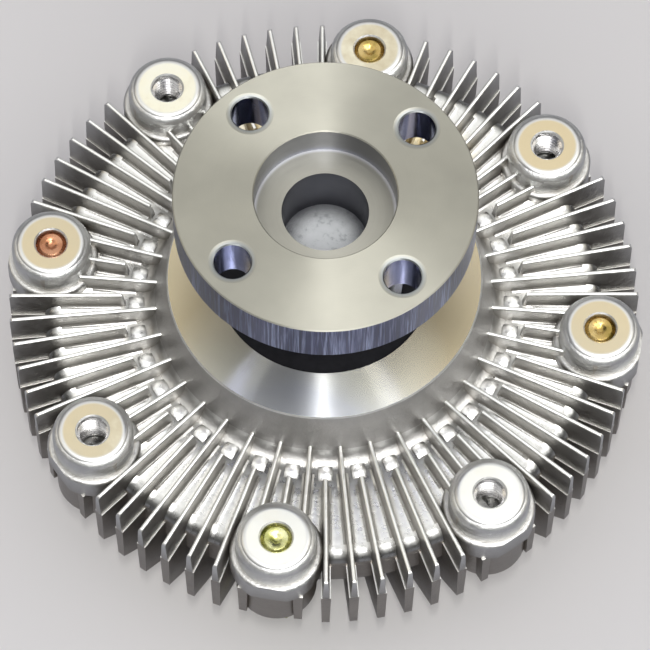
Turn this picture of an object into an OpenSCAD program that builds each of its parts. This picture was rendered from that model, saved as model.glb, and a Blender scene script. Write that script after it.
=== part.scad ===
// Viscous fan clutch. A finned two-piece housing turns on the bearing of a flanged input shaft.
// The shaft carries a labyrinth rotor, and a bimetal coil turns the valve that feeds it with fluid.
// Millimetres. +Z runs up the shaft axis. The part stands on the front cover's fins at z = 0.

/* [Input shaft] */
// Diameter of the pump flange
flange_d = 75; // [72:1:80]
// Thickness of the pump flange
flange_t = 13; // [11:0.5:16]
// Edge break of the flange
flange_chamfer = 0.3; // [0.2:0.1:1.5]
// Open height between the hub face and the flange
flange_gap = 30.1; // [24:0.1:36]
// Diameter of the pilot counterbore that centres the flange on the pump
pilot_d = 35.2; // [30:0.1:40]
// Depth of the pilot counterbore
pilot_depth = 9; // [6:0.5:10]
// Diameter of the socket below the pilot
socket_d = 21.6; // [18:0.1:24]
// Depth of the socket below the pilot floor
socket_depth = 16; // [8:0.5:20]
// Bolt circle of the pump flange
flange_pcd = 58.5; // [56:0.5:61]
// Clearance hole for the flange bolts
flange_hole_d = 9.2; // [8.4:0.1:10.4]
// Countersink of the flange holes
flange_hole_chamfer = 0.3; // [0.2:0.1:1]
// Number of flange bolts
flange_holes = 4; // [3:1:6]
// Angle that the flange stands turned from the fan bolts at rest
flange_turn = 4.2; // [0:0.1:30]
// Diameter of the shaft neck above the bearing
neck_d = 36; // [34:0.5:38]
// Fillet between the neck and the flange
neck_fillet = 4; // [1:0.5:5]
// Diameter of the rotor's seat on the shaft
rotor_seat_d = 20; // [18:0.5:22]
// Thread diameter at the shaft's end
shaft_thread_d = 16; // [12:1:16]

/* [Bearing] */
// Bore of the ball bearing
bearing_bore = 30; // [28:1:31]
// Outer diameter of the ball bearing
bearing_od = 62; // [60:1:66]
// Width of the ball bearing
bearing_w = 16; // [15:1:20]
// Diameter of the balls
ball_d = 9.5; // [9:0.1:10]
// Number of balls
balls = 9; // [7:1:9]
// Radial gap between the two rings' lands
race_gap = 6.2; // [5.6:0.1:6.6]
// Thickness of the bearing seals
seal_disc_t = 1.2; // [0.8:0.1:1.6]
// Thickness of the snap ring that keeps the bearing in
snap_ring_t = 2; // [1.5:0.1:2.4]

/* [Rear housing] */
// Diameter of the machined hub face around the bearing
hub_d = 80.4; // [78:0.2:86]
// Thickness of the lip behind the bearing
lip_t = 1.5; // [1:0.1:3]
// Width that the lip covers of the bearing
lip_w = 3.4; // [2.5:0.1:4]
// Draft of the hub's side from its face to the fin tops
hub_draft = 3.3; // [1:0.1:4]
// Fillet between the hub's side and the floor
hub_fillet = 4; // [2:0.5:5]
// Thickness of the wall under the fins
web_t = 3.7; // [3:0.1:5]
// Outer diameter over the fins, from which the rim and the boss circle follow
fin_d = 161.4; // [158:0.2:170]
// Reach of the fins past the rim
fin_reach = 8.7; // [6.7:0.1:10]
// Height of the fins above the floor
fin_h = 5.2; // [4:0.1:8]
// Number of fins, long and short in turn
fin_count = 72; // [56:8:80]
// Thickness of a fin under its round top
fin_top_t = 1.1; // [0.8:0.1:1.4]
// Thickness of a fin at the parting face
fin_base_t = 1.9; // [1.6:0.1:2.4]
// Broken edge along the front of a cover fin
fin_break = 0.25; // [0.1:0.05:0.4]
// Fillet at the foot of a fin
fin_root_r = 0.8; // [0.4:0.1:1]
// Radius of the corner at a fin's outer end
fin_corner = 1.2; // [0.6:0.1:2.5]
// Diameter at which the short fins start
short_fin_d = 104; // [100:1:112]
// Radial length of the cast pads in front of the short fins
pad_l = 3.8; // [2.5:0.1:5]
// Width of the cast pads
pad_w = 3.6; // [2.5:0.1:4.5]
// Height of the cast pads
pad_h = 0.9; // [0.6:0.1:1.2]
// Radius of the pads' crown
pad_crown = 4.5; // [4:0.1:8]

/* [Bosses and bolts] */
// Distance of the boss circle inside the fins' outer ends
boss_inset = 9.6; // [9:0.1:11]
// Number of bosses, for fan bolts and cover bolts in turn
boss_count = 8; // [6:2:8]
// Height of the boss faces above the fin tops
boss_rise = 5; // [2:0.1:6]
// Diameter of the flat face of a boss
boss_face_d = 15.8; // [14:0.2:17]
// Diameter of a boss under its rounded shoulder
boss_d = 20.4; // [19:0.2:21.6]
// Diameter of a boss's foot
boss_foot_d = 23.6; // [22.6:0.2:25]
// Depth of the foot's shelf below the fin tops
boss_shelf = 2.2; // [1.5:0.1:3]
// How far the bosses stand past the fins, where they are turned off
boss_proud = 1.4; // [0:0.1:2]
// Thread diameter of the fan bolts and cover bolts
thread_d = 8; // [6:1:8]
// Depth of the threaded fan holes
fan_thread_depth = 11; // [8:0.5:12]
// Width across the flats of the cover bolts
bolt_af = 13; // [12:0.5:14]
// Height of the bolt heads
bolt_head_h = 5.5; // [4:0.5:6.5]
// Thickness of the spring washers
washer_t = 2; // [1:0.1:2.2]
// Depth of the bolt ends below the boss faces
bolt_recess = 0.6; // [0.2:0.1:1.5]
// Thickness of the cover under the bolt heads
cover_boss_t = 14; // [11:0.5:16]

/* [Front cover] */
// Wall thickness of the cover
cover_wall = 3.5; // [2.5:0.1:4]
// Height of the fluid reservoir
reservoir_h = 6.5; // [6:0.5:10]
// Width of the ledge under the divider plate
ledge_w = 7.5; // [7:0.5:9]
// Diameter of the flat fin edges that the part stands on
nose_d = 116; // [108:1:122]
// Height of the cover fins' outer corners
corner_h = 18.7; // [14:0.1:24]
// Thickness of a cover fin at the parting face
cover_fin_t = 2.5; // [2:0.1:2.8]
// Thickness of a cover fin at its front edge
cover_fin_edge_t = 1.3; // [1:0.1:1.6]
// Diameter at which the long cover fins start
cover_fin_d = 74; // [72:1:80]
// Cord diameter of the cover seal
seal_d = 1.8; // [1.4:0.1:2.2]
// Metal left beside the cover seal's groove
seal_wall = 1.4; // [1:0.1:1.6]

/* [Rotor and divider] */
// Thickness of the rotor disc
rotor_t = 6.2; // [5:0.1:8]
// Number of rotor lands
lands = 4; // [3:1:4]
// Thickness of a land
land_t = 1.6; // [1.2:0.1:1.8]
// Height of a land
land_h = 5; // [4:0.1:6]
// Gap between rotor lands and cover lands
land_gap = 0.4; // [0.3:0.05:0.5]
// Gap at the land tips and behind the rotor
end_gap = 0.8; // [0.6:0.1:1.2]
// Gap between the rotor's edge and the cover
rotor_gap = 1.5; // [1:0.1:2]
// Diameter of the rotor's hub
rotor_hub_d = 34; // [33:0.5:37]
// Height of the rotor nut
nut_h = 5.5; // [4.5:0.1:6]
// Width across the flats of the rotor nut
nut_af = 24; // [22:0.5:26]
// Thickness of the nut's washer
nut_washer_t = 2; // [1:0.1:2.2]
// Thickness of the divider plate
plate_t = 1.2; // [0.8:0.1:1.6]
// Diameter of the fluid port in the divider plate
port_d = 5; // [3:0.1:6]
// Distance of the fluid port from the reservoir's wall
port_inset = 5.9; // [4:0.1:8]
// Thread diameter of the divider screws
screw_d = 3; // [2.5:0.5:3]

/* [Bimetal valve] */
// Width of the coil's strip
coil_w = 7; // [5:0.5:10]
// Thickness of the coil's strip
coil_t = 0.8; // [0.5:0.1:1]
// Pitch of the coil's turns
coil_pitch = 2.6; // [2.2:0.1:2.8]
// Number of turns of the coil
coil_turns = 8; // [5:1:8]
// Height of the coil above the rest plane
coil_drop = 1.5; // [1:0.1:4]
// Gap between the coil and the cover
coil_gap = 1.5; // [1.4:0.1:3]
// Diameter of the valve shaft
valve_shaft_d = 6; // [5:0.1:7]
// Thickness of the valve arm
arm_t = 1.2; // [0.8:0.1:1.6]
// Width of the valve arm
arm_w = 8; // [7:0.1:9]
// Diameter of the coil's anchor post
anchor_d = 6.4; // [5.5:0.1:7]

/* [Clearances] */
// Radial clearance of a seated ring or pressed piece
seat_clear = 0.02; // [0.01:0.01:0.05]
// Radial clearance of a turning shaft
run_clear = 0.04; // [0.02:0.01:0.08]
// Gap between pieces that turn past each other
turn_gap = 0.3; // [0.2:0.05:0.4]
// Radial clearance of a bolt in its hole
bolt_clear = 0.4; // [0.3:0.1:0.6]
// Radial clearance of a bolt in its thread
thread_clear = 0.05; // [0.02:0.01:0.1]

/* [Hidden] */
$fn = 96;
eps = 0.01;
over = 1;
sink = 0.5;
stock = 1;

// Heights, stacked up from the rest plane
z_face = coil_drop + coil_w + coil_gap;
z_reservoir = z_face + cover_wall;
z_plate = z_reservoir + reservoir_h;
z_lab = z_plate + plate_t;
z_rotor = z_lab + land_h + end_gap;
z_rotor_top = z_rotor + rotor_t;
z_part = z_rotor_top + end_gap;
z_floor = z_part + web_t;
z_fin = z_floor + fin_h;
z_boss = z_fin + boss_rise;
snap_land = 1.5;
snap_drop = 2.1;
snap_gap = 0.1;
z_snap_land = z_part - snap_drop;
z_snap = z_snap_land + snap_land;
z_bearing = z_snap + snap_ring_t + snap_gap;
z_bearing_top = z_bearing + bearing_w;
z_bearing_mid = z_bearing + bearing_w / 2;
z_hub = z_bearing_top + lip_t;
z_flange = z_hub + flange_gap;
z_top = z_flange + flange_t;
z_seat = z_part - cover_boss_t;

// Radii, worked out from the fins' outer ends inwards
fin_r = fin_d / 2;
rim_r = fin_r - fin_reach;
boss_r = fin_r - boss_inset;
boss_trim_r = fin_r + boss_proud;
hub_r = hub_d / 2;
hub_foot_r = hub_r + hub_draft;
bolt_hole_r = thread_d / 2 + bolt_clear;
seal_end_gap = 0.1;
groove_w = seal_d + 2 * turn_gap;
groove_h = seal_d + seal_end_gap;
seal_r = boss_r - bolt_hole_r - seal_wall - groove_w / 2;
chamber_r = seal_r - groove_w / 2 - seal_wall;
rotor_r = chamber_r - rotor_gap;
land_pitch = 2 * (land_t + land_gap);
rotor_land_r = [for (i = [0 : lands - 1]) rotor_r - land_t / 2 - i * land_pitch];
cover_land_r = [for (r = rotor_land_r) r - land_pitch / 2];
plate_r = cover_land_r[lands - 1] - land_t / 2 - land_pitch;
plate_gap = 0.2;
reservoir_r = plate_r - ledge_w;
port_r = reservoir_r - port_inset;
bulge_r = plate_r + cover_wall;
bulge_slope = 3.5;

// Bearing
pitch_r = (bearing_bore + bearing_od) / 4;
inner_land_r = pitch_r - race_gap / 2;
outer_land_r = pitch_r + race_gap / 2;
seal_seat_w = 1.8;
seal_seat_r = outer_land_r + seal_seat_w;
seal_inset = 0.3;
cage_t = 3.2;
cage_rim = 1;
bore_wall = 5.5;
snap_lip = 2.2;
snap_mouth = 9;
snap_eye_r = 2.4;
bead_w = 1.4;
bead_h = 0.25;

// Shaft and rotor
nut_gap = 1.1;
z_nut = z_lab + nut_gap;
z_nut_washer = z_nut + nut_h;
z_rotor_hub = z_nut_washer + nut_washer_t;
shaft_tip = 0.2;
tip_chamfer = 1;
nut_room = 1.5;
rotor_holes = 6;
rotor_hole_d = 6;
dish_gap = 2;

// Fins and bosses
fin_step = 360 / fin_count;
boss_step = 360 / boss_count;
thread_chamfer = 0.4;
hub_sink = 1.5;
hub_edge = 0.4;
fin_slope = 1;
fin_relief = 0.1;
foot_round = 1.2;
wrench_room = 0.7;
spot_r = bolt_af / 2 / cos(30) + wrench_room;
bolt_tip = 1;
bolt_cup_d = 3.6;
bolt_cup_h = 0.7;
washer_split = 1.2;
short_fin_r = short_fin_d / 2;
pad_gap = 1.8;
pad_r = short_fin_r - pad_gap - pad_l;

// Valve and coil
arm_gap = 0.3;
z_arm = z_plate - arm_gap - arm_t;
valve_boss_w = 4;
valve_boss_r = valve_shaft_d / 2 + valve_boss_w;
valve_boss_h = 3.4;
valve_seal_d = 1.4;
clip_t = 0.7;
clip_groove = 0.7;
clip_slack = 0.05;
clip_w = 2;
clip_mouth = 3.7;
valve_step = 1;
valve_seal_gap = 0.1;
arm_tail = 12;
arm_hub_w = 3;
coil_bend = 0.8;
z_clip = z_face - turn_gap - clip_t;
z_valve_seal = z_face + (cover_wall + valve_boss_h) / 2;
coil_r0 = valve_shaft_d / 2 + coil_t + coil_bend;
coil_end_x = coil_pitch / 2 + coil_r0 + (2 * coil_turns - 1) * coil_pitch / 2;
coil_tail = 5;
coil_lip = 0.4;
anchor_x = coil_end_x + coil_t / 2 + coil_tail - anchor_d / 4;
anchor_shank_d = 4;
anchor_shank_h = 2.5;
slot_clear = 0.1;
screw_r = reservoir_r + ledge_w / 2;
screw_count = 4;
screw_l = 5;
screw_turn = 45;
screw_head_d = 5.4;
screw_head_h = 1.6;
cross_l = 3.2;
cross_w = 0.7;

// Ring of rectangular section
module ring(r_in, r_out, z, h) {
    translate([0, 0, z])
        rotate_extrude()
            translate([r_in, 0])
                square([r_out - r_in, h]);
}

// Copies around the axis
module around(count, start = 0) {
    for (i = [0 : count - 1])
        rotate(start + i * 360 / count)
            children();
}

// Hexagon prism measured across its flats
module hex(af, h) {
    rotate(30)
        cylinder(d = af / cos(30), h = h, $fn = 6);
}

// Half section of a round boss that ends at z_end with a rounded edge
module round_end(r, z_start, z_end, edge) {
    up = z_end > z_start;
    z_edge = up ? z_end - edge : z_end + edge;
    difference() {
        translate([0, min(z_start, z_end)])
            square([r, abs(z_end - z_start)]);
        translate([r - edge, z_edge])
            difference() {
                translate([0, up ? 0 : -edge - over])
                    square(edge + over);
                circle(edge);
            }
    }
}

// Fillet in a section, between a wall at x and a face at z, on the wall's outer side
module inner_round(x, z, fillet, up) {
    z_mid = up ? z + fillet : z - fillet;
    difference() {
        translate([x - over, up ? z - over : z_mid])
            square(fillet + over);
        translate([x + fillet, z_mid])
            circle(fillet);
    }
}

// Fin across +X: its side outline in X and Z, kept to its section in Y and Z
module fin(x_end, t) {
    intersection() {
        translate([0, t, 0])
            rotate([90, 0, 0])
                linear_extrude(2 * t)
                    children(0);
        rotate([90, 0, 90])
            linear_extrude(x_end)
                children(1);
    }
}

// Input shaft, turned from one bar with its flange

module flange_shaft() {
    color([0.62, 0.62, 0.64])
        difference() {
            rotate_extrude()
                shaft_section();
            translate([0, 0, z_top - pilot_depth])
                cylinder(d = pilot_d, h = pilot_depth + over);
            translate([0, 0, z_top - pilot_depth - socket_depth])
                cylinder(d = socket_d, h = socket_depth + over);
            translate([0, 0, z_top - flange_chamfer])
                cylinder(d1 = pilot_d, d2 = pilot_d + 2 * flange_chamfer, h = flange_chamfer + eps);
            around(flange_holes, flange_turn + boss_step)
                translate([flange_pcd / 2, 0, 0])
                    flange_hole();
        }
}

module shaft_section() {
    r = flange_d / 2;
    c = flange_chamfer;
    tip_r = shaft_thread_d / 2;
    z_tip = z_nut - shaft_tip;
    polygon(concat(
        [[0, z_tip], [tip_r - tip_chamfer, z_tip], [tip_r, z_tip + tip_chamfer]],
        [[tip_r, z_rotor_hub], [rotor_seat_d / 2, z_rotor_hub], [rotor_seat_d / 2, z_bearing]],
        [[bearing_bore / 2, z_bearing], [bearing_bore / 2, z_bearing_top], [neck_d / 2, z_bearing_top]],
        [[neck_d / 2, z_flange], [r - c, z_flange], [r, z_flange + c], [r, z_top - c], [r - c, z_top], [0, z_top]]
    ));
    inner_round(neck_d / 2, z_flange, neck_fillet, false);
}

module flange_hole() {
    c = flange_hole_chamfer;
    translate([0, 0, z_flange - over])
        cylinder(d = flange_hole_d, h = flange_t + 2 * over);
    translate([0, 0, z_top - c])
        cylinder(d1 = flange_hole_d, d2 = flange_hole_d + 2 * c + eps, h = c + eps);
    translate([0, 0, z_flange - eps])
        cylinder(d1 = flange_hole_d + 2 * c + eps, d2 = flange_hole_d, h = c + eps);
}

// Ball bearing

module ball_track() {
    translate([pitch_r, z_bearing_mid])
        circle(d = ball_d + 2 * run_clear);
}

module bearing_inner_ring() {
    color([0.72, 0.72, 0.74])
        rotate_extrude()
            difference() {
                translate([bearing_bore / 2 + seat_clear, z_bearing])
                    square([inner_land_r - bearing_bore / 2 - seat_clear, bearing_w]);
                ball_track();
            }
}

module bearing_outer_ring() {
    seat_h = seal_inset + seal_disc_t + seat_clear;
    color([0.7, 0.7, 0.72])
        rotate_extrude()
            difference() {
                translate([outer_land_r, z_bearing])
                    square([bearing_od / 2 - outer_land_r, bearing_w]);
                ball_track();
                translate([outer_land_r - over, z_bearing - over])
                    square([seal_seat_w + over, seat_h + over]);
                translate([outer_land_r - over, z_bearing_top - seat_h])
                    square([seal_seat_w + over, seat_h + over]);
            }
}

// Rubber sealing disc with a raised bead at each edge
module bearing_seal(z) {
    color([0.06, 0.06, 0.07])
        difference() {
            ring(inner_land_r + turn_gap, seal_seat_r - seat_clear, z, seal_disc_t);
            ring(inner_land_r + bead_w, seal_seat_r - bead_w, z + seal_disc_t - bead_h, bead_h + over);
        }
}

module bearing_rear_seal() {
    bearing_seal(z_bearing_top - seal_inset - seal_disc_t);
}

module bearing_front_seal() {
    translate([0, 0, 2 * z_bearing_mid])
        mirror([0, 0, 1])
            bearing_seal(z_bearing_top - seal_inset - seal_disc_t);
}

module bearing_cage() {
    h = ball_d + 2 * cage_rim;
    color([0.66, 0.66, 0.68])
        difference() {
            ring(pitch_r - cage_t / 2, pitch_r + cage_t / 2, z_bearing_mid - h / 2, h);
            around(balls)
                translate([pitch_r - cage_t, 0, z_bearing_mid])
                    rotate([0, 90, 0])
                        cylinder(d = ball_d + turn_gap, h = 2 * cage_t);
        }
}

module bearing_balls() {
    color([0.82, 0.82, 0.84])
        around(balls)
            translate([pitch_r, 0, z_bearing_mid])
                sphere(d = ball_d);
}

// Internal snap ring with an eye at each side of its gap
module bearing_snap_ring() {
    r_out = bearing_od / 2 + snap_land - turn_gap;
    r_in = bearing_od / 2 - snap_lip;
    eye_y = snap_mouth / 2 + snap_eye_r;
    color([0.2, 0.2, 0.21])
        translate([0, 0, z_snap])
            linear_extrude(snap_ring_t)
                difference() {
                    circle(r_out);
                    difference() {
                        circle(r_in);
                        for (side = [-1, 1])
                            translate([r_in, side * eye_y])
                                circle(snap_eye_r);
                    }
                    translate([0, -snap_mouth / 2])
                        square([r_out + over, snap_mouth]);
                    for (side = [-1, 1])
                        translate([r_in, side * eye_y])
                            circle(d = snap_eye_r);
                }
}

// Rear housing, cast with radial fins in turn long and short

module rear_housing() {
    color([0.78, 0.78, 0.77])
        union() {
            rear_body();
            for (i = [0 : fin_count - 1])
                rotate(boss_step + i * fin_step)
                    rear_fin(i % 2 == 0 ? hub_foot_r - hub_sink : short_fin_r, beside_boss(i));
            around(fin_count / 2, boss_step + fin_step)
                cast_pad();
        }
}

// Hub, floor and bosses with the machined seats and holes, faced off together at the parting face
module rear_body() {
    difference() {
        union() {
            rotate_extrude()
                rear_section();
            around(boss_count)
                translate([boss_r, 0, 0])
                    rear_boss();
        }
        ring(bearing_od / 2 + bore_wall, boss_trim_r + boss_d, z_part - 3 * stock, 3 * stock);
        bearing_seat();
        boss_trim(z_part - 3 * stock, z_boss + over);
        around(boss_count / 2)
            translate([boss_r, 0, z_part - 3 * stock])
                cylinder(d = thread_d, h = z_boss - z_part + 4 * stock);
        around(boss_count / 2, boss_step)
            translate([boss_r, 0, z_boss - fan_thread_depth])
                cylinder(d = thread_d, h = fan_thread_depth + over);
        around(boss_count)
            translate([boss_r, 0, z_boss - thread_chamfer])
                cylinder(d1 = thread_d, d2 = thread_d + 2 * thread_chamfer + eps, h = thread_chamfer + eps);
    }
}

// Sideways distance from fin i to the middle of the nearest boss
function boss_offset(i) =
    let (a = (i * fin_step) % boss_step) boss_r * sin(min(a, boss_step - a));

// Does fin i run into a boss
function beside_boss(i) = boss_offset(i) < boss_d / 2 - fin_base_t;

module rear_section() {
    round_end(rim_r, z_snap_land, z_floor, web_t);
    polygon([
        [0, z_snap_land], [hub_foot_r, z_snap_land], [hub_foot_r, z_floor + hub_fillet],
        [hub_r, z_hub - hub_edge], [hub_r - hub_edge, z_hub], [0, z_hub]
    ]);
    inner_round(hub_foot_r, z_floor, hub_fillet, true);
}

// Bearing bore, snap ring groove and the mouth of the lip
module bearing_seat() {
    r = bearing_od / 2 + seat_clear;
    translate([0, 0, z_snap_land - over])
        cylinder(r = r, h = z_bearing_top - z_snap_land + over);
    translate([0, 0, z_bearing_top - over])
        cylinder(r = bearing_od / 2 - lip_w, h = lip_t + 2 * over);
    translate([0, 0, z_snap - snap_gap])
        cylinder(r = r + snap_land, h = snap_ring_t + 2 * snap_gap);
}

// A fin ends inside the boss that stands in its way
module rear_fin(r_start, at_boss) {
    root_start = max(r_start, hub_foot_r + hub_fillet + over);
    fin(fin_r + over, fin_base_t) {
        rear_fin_side(r_start, at_boss);
        rear_fin_section();
    }
    fin_root(root_start, at_boss ? boss_r - boss_foot_d / 2 + sink : rim_r - web_t - sink);
}

module rear_fin_side(r_start, at_boss) {
    z_low = z_floor - sink;
    r_end = at_boss ? boss_r - boss_d / 4 : rim_r - web_t;
    r_top = at_boss ? r_end : fin_r - fin_corner;
    polygon([[r_start - fin_slope, z_low], [r_start, z_fin], [r_top, z_fin], [r_top, z_low]]);
    if (!at_boss) {
        translate([r_top, z_fin - fin_corner])
            circle(fin_corner);
        translate([r_end, z_part + fin_relief])
            square([fin_r - r_end, z_fin - fin_corner - z_part - fin_relief]);
    }
}

// Section that tapers up to a round top
module rear_fin_section() {
    r = fin_top_t / 2;
    polygon([[fin_base_t / 2, z_part], [r, z_fin - r], [-r, z_fin - r], [-fin_base_t / 2, z_part]]);
    translate([0, z_fin - r])
        circle(r);
}

// Fillet along both feet of a fin
module fin_root(r_start, r_end) {
    f = fin_root_r;
    w = fin_top_t / 2 + (fin_base_t - fin_top_t) / 2 * (fin_h - f) / (z_fin - z_part);
    side = [[w + f, -sink], [w + f, eps], [w + f / 3, f / 3], [w - eps, f]];
    rotate([90, 0, 90])
        translate([0, z_floor, r_start])
            linear_extrude(r_end - r_start)
                polygon(concat(side, [for (i = [3 : -1 : 0]) [-side[i][0], side[i][1]]]));
}

// Square pad with a crowned top
module cast_pad() {
    translate([pad_r + pad_l / 2, 0, z_floor])
        intersection() {
            translate([-pad_l / 2, -pad_w / 2, -sink])
                cube([pad_l, pad_w, pad_h + sink + over]);
            translate([0, 0, pad_h - pad_crown])
                rotate([90, 0, 0])
                    sphere(pad_crown);
        }
}

// Boss of two tiers: a foot with a shelf, and a barrel with a rounded shoulder under its machined face
module rear_boss() {
    z_start = z_part - 2 * stock;
    rotate_extrude() {
        round_end(boss_foot_d / 2, z_start, z_fin - boss_shelf, foot_round);
        round_end(boss_d / 2, z_start, z_boss, (boss_d - boss_face_d) / 2);
    }
}

// Everything outside the turned diameter of the bosses
module boss_trim(z0, z1) {
    ring(boss_trim_r, boss_trim_r + boss_foot_d, z0, z1 - z0);
}

// Front cover, cast with matching fins

module front_cover() {
    color([0.74, 0.74, 0.73])
        union() {
            cover_body();
            for (i = [0 : fin_count - 1])
                rotate(boss_step + i * fin_step) {
                    cover_fin(i % 2 == 0 ? cover_fin_d / 2 : short_fin_r, beside_boss(i));
                    if (beside_boss(i) && boss_offset(i) > bolt_hole_r + cover_fin_t / 2)
                        cover_nub();
                }
            for (r = cover_land_r)
                ring(r - land_t / 2, r + land_t / 2, z_lab - sink, land_h + sink);
        }
}

// Bowl of the cover with its bosses and holes, faced off together at the parting face
module cover_body() {
    difference() {
        union() {
            rotate_extrude()
                cover_section();
            around(boss_count)
                translate([boss_r, 0, z_seat])
                    cylinder(d = boss_d, h = cover_boss_t + 2 * stock);
        }
        translate([0, 0, z_part])
            cylinder(r = boss_trim_r + boss_d, h = 3 * stock);
        cover_cavity();
        boss_trim(z_seat - over, z_part + 3 * stock);
        around(boss_count / 2)
            translate([boss_r, 0, 0]) {
                cylinder(r = bolt_hole_r, h = z_part + over);
                cylinder(r = spot_r, h = z_seat);
            }
        translate([0, 0, z_face - over])
            cylinder(r = valve_shaft_d / 2 + run_clear, h = cover_wall + valve_boss_h + 2 * over);
        translate([anchor_x, 0, z_face - over])
            cylinder(d = anchor_shank_d + 2 * seat_clear, h = anchor_shank_h + seat_clear + over);
        around(screw_count, screw_turn)
            translate([screw_r, 0, z_plate - screw_l])
                cylinder(d = screw_d + 2 * thread_clear, h = screw_l + over);
    }
}

module cover_section() {
    z_skin = z_lab - cover_wall;
    bulge_foot_r = bulge_r + bulge_slope;
    round_end(rim_r, z_part + stock, z_skin, rim_r - chamber_r - sink);
    polygon([[0, z_face], [bulge_r, z_face], [bulge_foot_r, z_skin], [bulge_foot_r, z_lab], [0, z_lab]]);
}

// Chamber for the rotor, seat of the divider plate, reservoir and seal groove
module cover_cavity() {
    difference() {
        union() {
            translate([0, 0, z_lab])
                cylinder(r = chamber_r, h = z_part - z_lab + over);
            translate([0, 0, z_plate])
                cylinder(r = plate_r + plate_gap, h = plate_t + over);
            translate([0, 0, z_reservoir])
                cylinder(r = reservoir_r, h = reservoir_h + over);
        }
        translate([0, 0, z_face])
            cylinder(r = valve_boss_r, h = cover_wall + valve_boss_h);
    }
    ring(seal_r - groove_w / 2, seal_r + groove_w / 2, z_part - groove_h, groove_h + over);
}

// A fin stops short of the boss that stands in its way, clear of the bolt's head
module cover_fin(r_start, at_boss) {
    z_skin = z_lab - cover_wall / 2;
    z_mid = z_face + cover_wall / 2;
    r_end = boss_r - spot_r - wrench_room;
    z_end = corner_h * max(0, r_end - nose_d / 2) / (fin_r - nose_d / 2);
    r_nose = min(nose_d / 2, r_end - over);
    r_wall = chamber_r + sink;
    z_lip = z_part - fin_relief;
    z_back = z_part - groove_h - sink;
    long = r_start < bulge_r;
    start = [[r_start - fin_slope, long ? z_mid : z_skin], [r_start, 0]];
    boss_end = [[r_nose, 0], [r_end, z_end], [r_end, z_skin]];
    free_end = [
        [nose_d / 2, 0], [fin_r, corner_h], [fin_r, z_lip], [rim_r - sink, z_lip],
        [rim_r - sink, z_back], [r_wall, z_back], [r_wall, z_skin]
    ];
    inner = long ? [[bulge_r + bulge_slope, z_skin], [bulge_r, z_mid]] : [];
    fin(fin_r + over, cover_fin_t) {
        polygon(concat(start, at_boss ? boss_end : free_end, inner));
        cover_fin_section();
    }
}

// Section that tapers down to a flat front edge with broken corners
module cover_fin_section() {
    half = [
        [cover_fin_t / 2, z_part], [cover_fin_edge_t / 2, fin_break], [cover_fin_edge_t / 2 - fin_break, 0]
    ];
    polygon(concat(half, [for (i = [2 : -1 : 0]) [-half[i][0], half[i][1]]]));
}

// Outer end of a fin that stands in line with the side of a boss
module cover_nub() {
    z_low = z_seat + fin_relief;
    fin(fin_r + over, cover_fin_t) {
        translate([boss_r, z_low])
            square([fin_r - boss_r, z_part - fin_relief - z_low]);
        cover_fin_section();
    }
}

module cover_seal() {
    color([0.08, 0.08, 0.09])
        rotate_extrude()
            translate([seal_r, z_part - groove_h / 2])
                circle(d = seal_d);
}

// Hexagon bolts whose ends have the shallow cup of a rolled thread
module cover_bolts() {
    z_head = z_seat - washer_t;
    r = thread_d / 2 - thread_clear;
    z_end = z_boss - bolt_recess;
    color([0.72, 0.62, 0.3])
        around(boss_count / 2)
            translate([boss_r, 0, 0])
                difference() {
                    union() {
                        translate([0, 0, z_head - bolt_head_h])
                            hex(bolt_af, bolt_head_h);
                        translate([0, 0, z_head - eps])
                            cylinder(r = r, h = z_end - bolt_tip - z_head + eps);
                        translate([0, 0, z_end - bolt_tip])
                            cylinder(r1 = r, r2 = r - bolt_tip, h = bolt_tip);
                    }
                    translate([0, 0, z_end - bolt_cup_h])
                        cylinder(d1 = bolt_cup_d / 3, d2 = bolt_cup_d, h = bolt_cup_h + eps);
                }
}

// Spring washers, split at one side
module bolt_washers() {
    r_in = thread_d / 2 + bolt_clear / 2;
    color([0.7, 0.62, 0.34])
        around(boss_count / 2)
            translate([boss_r, 0, z_seat - washer_t])
                difference() {
                    ring(r_in, bolt_af / 2, 0, washer_t);
                    translate([0, -washer_split / 2, -over])
                        cube([bolt_af, washer_split, washer_t + 2 * over]);
                }
}

// Rotor, clamped against the bearing by its nut

module rotor() {
    dish_r = bearing_od / 2 + bore_wall + dish_gap;
    dish_z = z_snap_land - end_gap;
    color([0.7, 0.71, 0.72])
        difference() {
            union() {
                ring(rotor_seat_d / 2 + seat_clear, rotor_hub_d / 2, z_rotor_hub, z_bearing - z_rotor_hub);
                ring(nut_af / 2 / cos(30) + nut_room, dish_r, z_rotor, dish_z - z_rotor);
                ring(dish_r - sink, rotor_r, z_rotor, z_rotor_top - z_rotor);
                for (r = rotor_land_r)
                    ring(r - land_t / 2, r + land_t / 2, z_lab + end_gap, land_h + sink);
            }
            around(rotor_holes)
                translate([(rotor_hub_d / 2 + dish_r) / 2, 0, z_rotor - over])
                    cylinder(d = rotor_hole_d, h = rotor_t + 2 * over);
        }
}

module rotor_washer() {
    color([0.6, 0.6, 0.62])
        ring(shaft_thread_d / 2 + bolt_clear / 2, nut_af / 2, z_nut_washer, nut_washer_t);
}

module rotor_nut() {
    color([0.55, 0.55, 0.57])
        difference() {
            translate([0, 0, z_nut])
                hex(nut_af, nut_h);
            translate([0, 0, z_nut - over])
                cylinder(r = shaft_thread_d / 2 + thread_clear, h = nut_h + 2 * over);
        }
}

// Divider plate between the reservoir and the rotor

module divider_plate() {
    color([0.66, 0.67, 0.68])
        difference() {
            ring(0, plate_r, z_plate, plate_t);
            translate([port_r, 0, z_plate - over])
                cylinder(d = port_d, h = plate_t + 2 * over);
            around(screw_count, screw_turn)
                translate([screw_r, 0, z_plate - over])
                    cylinder(d = screw_d + bolt_clear, h = plate_t + 2 * over);
        }
}

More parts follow.
